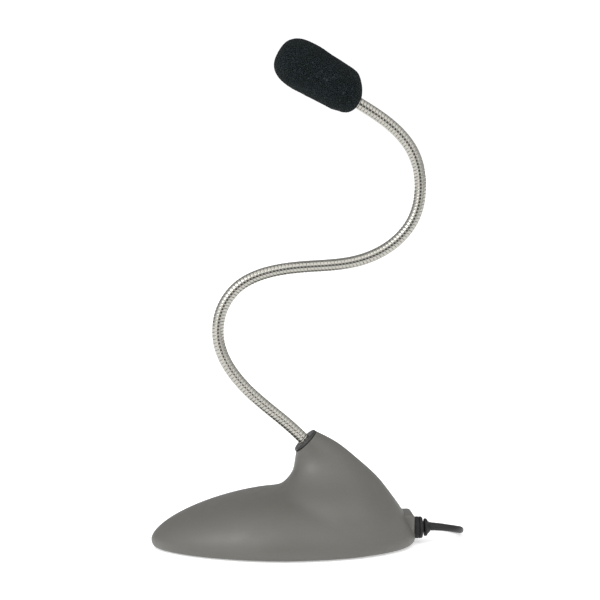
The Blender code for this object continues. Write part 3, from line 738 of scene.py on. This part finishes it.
def shell_cutters():
    """The hollow inside the shell, and the holes through it."""
    cavity = skin("cavity", [
        [(x, y, -1 * MM) for x, y, _ in edge_ring(SIDE_WALL, 0, 120)],
        *dome_rings(SIDE_WALL, DOME_TOP - WALL, 120, np.linspace(0, 81, 12)),
    ])
    boolean(cavity, [
        skin("fin_hollow", fin_rings(WALL, 2, 12, 40)),
        block("block_hollow", Vector((40, -5.8, 2.95)) * MM, Vector((61.2, 5.8, 13)) * MM),
        lathe("nut_pocket", ROOT_POINT, -ROOT_DIRECTION, [(12, 6.6), (27, 6.6)], sides=32),
    ], "UNION")
    boolean(cavity, [
        lathe(f"post_{i}", (x, y, PLATE_Z[1] + GAP), (0, 0, 1), [(0, 3.2), (60, 3.2)], sides=24)
        for i, (x, y) in enumerate(both_sides(SCREW_PLACES))
    ])
    top = lathe("top_cutter", ROOT_POINT, ROOT_DIRECTION, [(0, 12), (8, 12)], sides=64)
    bore = lathe("neck_bore", ROOT_POINT, -ROOT_DIRECTION, [(-3, 4.6), (15, 4.6)], sides=48)
    hole = lathe("cord_hole", (59 * MM, 0, CORD_Z * MM), (1, 0, 0), [(0, 3.3), (8, 3.3)], sides=32)
    seat = lathe("relief_seat", (BLOCK_HIGH.x, 0, CORD_Z * MM), (1, 0, 0), [(0, 6), (6, 6)], sides=64)
    holes = [
        lathe(f"screw_hole_{i}", (x, y, 0), (0, 0, 1), [(0, 1.3), (11, 1.3)], sides=20)
        for i, (x, y) in enumerate(both_sides(SCREW_PLACES))
    ]
    return [cavity, top, bore, hole, seat, *holes]


def plate():
    inset = SIDE_WALL + GAP
    flat = edge_ring(inset, 0, 160)
    small = edge_ring(inset + 0.4 * MM, 0, 160)
    rings = [
        [(x, y, PLATE_Z[0]) for x, y, _ in small],
        [(x, y, PLATE_Z[0] + 0.4 * MM) for x, y, _ in flat],
        [(x, y, PLATE_Z[1]) for x, y, _ in flat],
    ]
    body = skin("bottom_plate", rings)
    saddle = block("saddle", Vector((49.5, -7, 2)) * MM, Vector((52.5, 7, 5.7)) * MM)
    posts = [
        lathe(f"clamp_post_{side}", (CLAMP_X, side * CLAMP_SCREW_Y, 2 * MM), (0, 0, 1),
              [(0, 2.4), (7.6, 2.4)], sides=24)
        for side in (-1, 1)
    ]
    cuts = [
        lathe(f"clamp_hole_{side}", (CLAMP_X, side * CLAMP_SCREW_Y, 4.5 * MM), (0, 0, 1),
              [(0, 1.2), (8, 1.2)], sides=20)
        for side in (-1, 1)
    ]
    for i, (x, y) in enumerate(both_sides(SCREW_PLACES)):
        cuts.append(lathe(f"plate_hole_{i}", (x, y, 0), (0, 0, 1), [(0, 1.3), (5, 1.3)], sides=24))
        cuts.append(lathe(f"counterbore_{i}", (x, y, 0), (0, 0, 1), [(0, 2.9), (2.1, 2.9)], sides=40))
    for i, (x, y) in enumerate(both_sides(FOOT_PLACES)):
        cuts.append(lathe(f"foot_recess_{i}", (x, y, 0), (0, 0, 1), [(0, 4.8), (1.9, 4.8)], sides=56))
    label = block("label_recess", Vector((-14, -9, 0)) * MM, Vector((24, 9, 1.15)) * MM, 0.12 * MM)
    boolean(body, [saddle, *posts], "UNION")
    boolean(body, [*cuts, label])
    shade(body.data)
    return piece(body, "base", "shell_plastic", "base_plate")


def screws_and_feet():
    for i, (x, y) in enumerate(both_sides(SCREW_PLACES)):
        head, radius = 2.6, 1.0
        body = lathe(f"cross_screw_{i + 1}", (x, y, 1.0 * MM), (0, 0, 1), [
            (0, 0.02), (0, head * 0.72), (0.35, head), (0.8, head), (0.8, radius),
            (7.6, radius), (8.6, 0.1),
        ], 0.12, sides=40)
        slots = [
            block(f"slot_{k}", (x - wide * MM, y - deep * MM, 0.8 * MM), (x + wide * MM, y + deep * MM, 1.5 * MM))
            for k, (wide, deep) in enumerate(((1.35, 0.28), (0.28, 1.35)))
        ]
        boolean(body, slots)
        shade(body.data)
        piece(body, "base", "zinc_steel", f"case_screw_{i + 1}")
    for i, (x, y) in enumerate(both_sides(FOOT_PLACES)):
        pad = lathe(f"rubber_foot_{i + 1}", (x, y, 0), (0, 0, 1),
                    [(0, 0.02), (0, 4.1), (0.45, 4.5), (1.6, 4.5), (1.6, 0.02)], 0.35, sides=64)
        piece(pad, "base", "black_rubber", f"foot_{i + 1}")


def collar():
    """The black bush that closes the fin's top round the neck."""
    clear = NECK_RADIUS / MM + 0.12
    profile = [
        (1.15, clear), (1.5, clear + 0.35), (1.5, 6.35), (1.3, 6.85), (0.95, 7.15), (0.3, 7.15), (0.3, 4.3),
        (-5.5, 4.3), (-5.5, clear),
    ]
    return piece(lathe("neck_collar", ROOT_POINT, ROOT_DIRECTION, profile, 0.14, sides=96, loop=True),
                 "base", "black_plastic", "collar")


shell()
plate()
screws_and_feet()
collar()


# ---- gooseneck ----

PITCH = 1.75 * MM  # from one turn to the next
GROOVE_DEPTH = 0.17 * MM
ACROSS = (0.0, 0.06, 0.10, 0.12, 0.30, 0.50, 0.70, 0.88, 0.90, 0.94)  # places across one turn's width
NECK_SIDES = 36


def turn_profile(v):
    """Radius lost at a place across one turn: a nearly flat back between narrow grooves."""
    out = abs(2 * v - 1)
    return GROOVE_DEPTH * (0.03 * out**2 + 0.97 * min(max((out - 0.78) / 0.2, 0.0), 1.0))


def neck_rows():
    """Points of the wound tube, one row per place along it, each row following the winding."""
    low, high = -NECK_BELOW, neck.length + NECK_IN_HEAD - PITCH
    turns = int((high - low) / PITCH)
    rows, grooves = [], []
    for turn in range(turns + 1):
        for v in ACROSS if turn < turns else (0.0,):
            row = []
            for i in range(NECK_SIDES):
                s = low + (turn + v + i / NECK_SIDES) * PITCH
                along, side, up = axes_about(neck.direction(s))
                angle = 2 * math.pi * i / NECK_SIDES
                radius = NECK_RADIUS - turn_profile(v)
                row.append(neck.point(s) + radius * (math.cos(angle) * side + math.sin(angle) * up))
            rows.append(row)
            # How far each row lies in a groove: the mask that the steel uses to paint shade into the grooves.
            grooves.append(min(max((abs(2 * v - 1) - 0.78) / 0.2, 0.0), 1.0))
    return rows, grooves, turns


def neck_mesh(name, rows, grooves, first, last):
    """The mesh of the rows from first to last. Each turn closes on the row one turn further on."""
    per_turn = len(ACROSS)
    used = rows[first : min(last + per_turn, len(rows) - 1) + 1]
    points = [tuple(point) for row in used for point in row]

    def index(row, column):
        return row * NECK_SIDES + column if column < NECK_SIDES else (row + per_turn) * NECK_SIDES

    faces = []
    for row in range(last - first):
        for column in range(NECK_SIDES):
            quad = (
                index(row, column), index(row, column + 1), index(row + 1, column + 1), index(row + 1, column),
            )
            if max(quad) < len(points):
                faces.append(quad)
    data = bpy.data.meshes.new(name)
    data.from_pydata(points, [], faces)
    # The groove mask, which the steel reads to paint shade into the grooves.
    groove_shade = data.attributes.new("groove_shade", "FLOAT", "POINT")
    groove_shade.data.foreach_set("value", np.repeat(grooves[first : first + len(used)], NECK_SIDES))
    mesh = bmesh.new()
    mesh.from_mesh(data)
    bmesh.ops.delete(mesh, geom=[v for v in mesh.verts if not v.link_faces], context="VERTS")
    bmesh.ops.recalc_face_normals(mesh, faces=mesh.faces[:])
    mesh.to_mesh(data)
    mesh.free()
    data.shade_smooth()
    return data


def neck_pieces():
    """The wound tube, parted half-way between joints so that each piece holds one of them."""
    rows, grooves, turns = neck_rows()
    joints = [joint for joint in frame["joints"] if joint["name"].startswith("neck_")]
    places = np.linspace(FIRST_JOINT, neck.length - LAST_JOINT, NECK_JOINTS)
    middles = [(a + b) / 2 for a, b in zip(places, places[1:])]
    cuts = [len(ACROSS) * n for n in (0, *[round((m + NECK_BELOW) / PITCH) for m in middles], turns)]
    for i, joint in enumerate(joints):
        data = neck_mesh(f"gooseneck_{i + 1:02d}", rows, grooves, cuts[i], cuts[i + 1])
        obj = add_object(data.name, data)
        wear(obj, "neck_steel")
        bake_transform(obj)
        nodes = [f"neck_segment_{i:02d}"]
        if i == len(joints) - 1:
            nodes.append(f"neck_segment_{i + 1:02d}")
        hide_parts(*nodes)


neck_pieces()


# ---- head ----


def foam():
    """The windscreen: blunt at the rear where it grips the neck, widest two thirds along."""
    rear = np.concatenate([[0.022], np.linspace(0.04, 1.0, 60) ** 1.3])
    bore = HOUSING_RADIUS + 0.15
    profile = [
        (30.9, 0.3), (30.9, bore - 1), (30.6, bore), (18, bore), (5.2, bore), (4.2, 5.6), (3.4, 3.4), (1.6, 3.05),
    ]
    outside = len(profile)
    profile += [
        (FOAM_REAR * u, FOAM_REAR_RADIUS * (1 - (1 - u) ** FOAM_REAR_POWER) ** (1 / FOAM_REAR_POWER))
        for u in rear
    ]
    profile += [
        (FOAM_REAR + (FOAM_WIDEST - FOAM_REAR) * u, FOAM_REAR_RADIUS + (FOAM_RADIUS - FOAM_REAR_RADIUS) * u)
        for u in np.linspace(0, 1, 52)[1:]
    ]
    for u in np.sin(np.linspace(0, math.pi / 2, 78)[1:-1]):
        s = FOAM_WIDEST + (FOAM_LENGTH - FOAM_WIDEST) * u
        profile.append((s, FOAM_RADIUS * (1 - u**FOAM_FRONT_POWER) ** (1 / FOAM_FRONT_POWER)))
    profile += [(FOAM_LENGTH, 0.4), (FOAM_LENGTH, 0.1)]
    sides = 210
    rings = []
    for row, (s, r) in enumerate(profile):
        t = min(max(s / 9.0, 0.0), 1.0)
        offset = FOAM_OFFSET * t * t * (3 - 2 * t) if row >= outside else 0.0
        centre = HEAD_POINT + HEAD_DIRECTION * s * MM + HEAD_UP * offset * MM
        rings.append(ring_about(centre, HEAD_DIRECTION, r * MM, sides))
    rings = np.array(rings)
    centres = rings.mean(axis=1, keepdims=True)
    outward = rings - centres
    outward /= np.maximum(np.linalg.norm(outward, axis=2, keepdims=True), 1e-9)
    for row in range(outside + 1, len(profile)):
        tip = min(max((profile[row][0] - FOAM_WIDEST) / (FOAM_LENGTH - FOAM_WIDEST), 0.0), 1.0) ** 4
        for i in range(sides):
            point = Vector(rings[row, i])
            pore = noise.voronoi(point / (0.9 * MM))[0]
            rise = 0.16 * (pore[1] - pore[0] - 0.35) + 0.12 * noise.noise(point / (5 * MM))
            way = Vector(outward[row, i]) * (1 - tip) + HEAD_DIRECTION * tip
            rings[row, i] = point + way * (rise - 0.05) * MM
    obj = skin("foam_windscreen", rings, angle=math.radians(75))
    piece(obj, "windscreen", "black_foam", "windscreen")


def housing():
    def on_axis(name, profile, radius=0.25, loop=True):
        return lathe(name, HEAD_POINT, HEAD_DIRECTION, profile, radius, sides=80, loop=loop)

    tube = on_axis("capsule_tube", [
        (4, 4.3), (4, 5.6), (6, 6.9), (24.6, 6.9), (24.9, 6.6), (25.3, 6.6), (25.6, 6.9), (28, 6.9),
        (28, 6.1), (10.5, 6.1), (10.5, 4.3),
    ])
    piece(tube, "head", "black_plastic", "capsule_housing")
    ferrule = on_axis("crimp_ferrule", [
        (3, 3.3), (3, 4.0), (4.4, 4.0), (4.7, 3.75), (5.3, 3.75), (5.6, 4.0), (9.5, 4.0), (9.5, 3.3),
    ], 0.12)
    piece(ferrule, "head", "zinc_steel", "head_ferrule")
    cap = on_axis(
        "capsule_grille", [(28.3, 0.02), (28.3, 6.9), (29.6, 6.9), (30.3, 6.2), (30.3, 0.02)], 0.3, loop=False
    )
    _, side, up = axes_about(HEAD_DIRECTION)
    holes = []
    for count, reach in ((1, 0.0), (6, 2.2), (12, 4.4)):
        for i in range(count):
            turn = 2 * math.pi * i / count
            place = HEAD_POINT + reach * MM * (math.cos(turn) * side + math.sin(turn) * up)
            holes.append(lathe(f"hole_{count}_{i}", place, HEAD_DIRECTION, [(27, 0.55), (32, 0.55)], sides=16))
    boolean(cap, holes)
    shade(cap.data)
    piece(cap, "head", "black_plastic", "housing_cap")


foam()
housing()

# The CAD nodes that no piece here stands for.
slots = {part["node"]: part["material_slot"] for part in frame["record"]["subparts"]}
for name, node in frame["nodes"].items():
    if not node.hide_render:
        node.data.materials.clear()
        node.data.materials.append(MATERIALS[slots[name]])
        shade(node.data)


# ---- studio ----


FLOOR_GLOW = 0.5
GLOW_SIDE = (-0.3, -0.8, 0.48)  # where the large glow is
ROOM_GLOW, SIDE_GLOW = 0.46, 1.62
FILL_SIDE, FILL_GLOW = (0.8, -0.1, 0.6), 0.38
DARK_GAP = math.radians(20)  # half the width of the dark gap


def white_floor():
    """The table, which ends shortly before the object, so that the neck mirrors the dark gap past its edge."""
    data = bpy.data.meshes.new("floor")
    reach, near = 4.0, -0.4
    corners = [(-reach, near, 0), (reach, near, 0), (reach, reach, 0), (-reach, reach, 0)]
    data.from_pydata(corners, [], [(0, 1, 2, 3)])
    floor = add_object("floor", data)
    look = Look("floor_paper", Roughness=0.9, Specular_IOR_Level=0.1)
    tone = look.shades(look.noise(3.0, 2.0), (0.3, (0.90, 0.90, 0.90)), (0.7, (0.92, 0.92, 0.92)))
    data.materials.append(look.connect(Base_Color=tone, Emission_Color=tone))
    look.shader.inputs["Emission Strength"].default_value = FLOOR_GLOW


def area_light(name, place, target, size, watts, colour=(1.0, 1.0, 1.0)):
    light = bpy.data.lights.new(name, "AREA")
    light.shape = "RECTANGLE"
    light.size, light.size_y = size
    light.energy = watts
    light.color = colour
    obj = add_object(name, light)
    obj.location = place
    obj.rotation_euler = (Vector(target) - Vector(place)).to_track_quat("-Z", "Y").to_euler()
    return obj


def studio_world():
    """A pale room with a large soft glow before the object, high and to the left, a lesser one to the
    right, and a dark gap straight before it. The camera itself sees plain white behind the object."""
    world = bpy.data.worlds.new("studio")
    world.use_nodes = True
    nodes, links = world.node_tree.nodes, world.node_tree.links
    nodes.clear()

    def node(kind, *inputs, **settings):
        made = nodes.new("ShaderNode" + kind)
        for name, value in settings.items():
            setattr(made, name, value)
        for socket, value in zip(made.inputs, inputs):
            if isinstance(value, bpy.types.NodeSocket):
                links.new(value, socket)
            else:
                socket.default_value = value
        return made

    def glow_about(direction, *levels):
        """Brightness by the cosine of the angle from a direction: from, to, and the level at each."""
        cosine = node("VectorMath", way, Vector(direction).normalized(), operation="DOT_PRODUCT").outputs["Value"]
        return node("MapRange", cosine, *levels, interpolation_type="SMOOTHSTEP").outputs[0]

    way = node("TexCoord").outputs["Generated"]
    soft = glow_about(GLOW_SIDE, 0.05, 0.85, ROOM_GLOW, SIDE_GLOW)
    gap = glow_about((0, -1, 0), math.cos(DARK_GAP * 1.35), math.cos(DARK_GAP * 0.8), 1.0, 0.1)
    fill = glow_about(FILL_SIDE, 0.55, 0.95, 0.0, FILL_GLOW)
    both = node("Math", soft, fill, operation="ADD").outputs[0]
    glow = node("Math", both, gap, operation="MULTIPLY").outputs[0]
    room = node("Background", (1.0, 1.0, 1.0, 1.0), glow)
    plain = node("Background", (1.0, 1.0, 1.0, 1.0), 1.05)
    seen = node("LightPath").outputs["Is Camera Ray"]
    out = node("MixShader", seen, room.outputs[0], plain.outputs[0])
    links.new(out.outputs[0], nodes.new("ShaderNodeOutputWorld").inputs["Surface"])
    bpy.context.scene.world = world


white_floor()
studio_world()
area_light("key", (-0.8, -0.8, 0.8), (0, 0, 0.1), (0.7, 0.7), 5.0)
bpy.context.scene.view_settings.view_transform = "Standard"
bpy.context.scene.view_settings.look = "None"
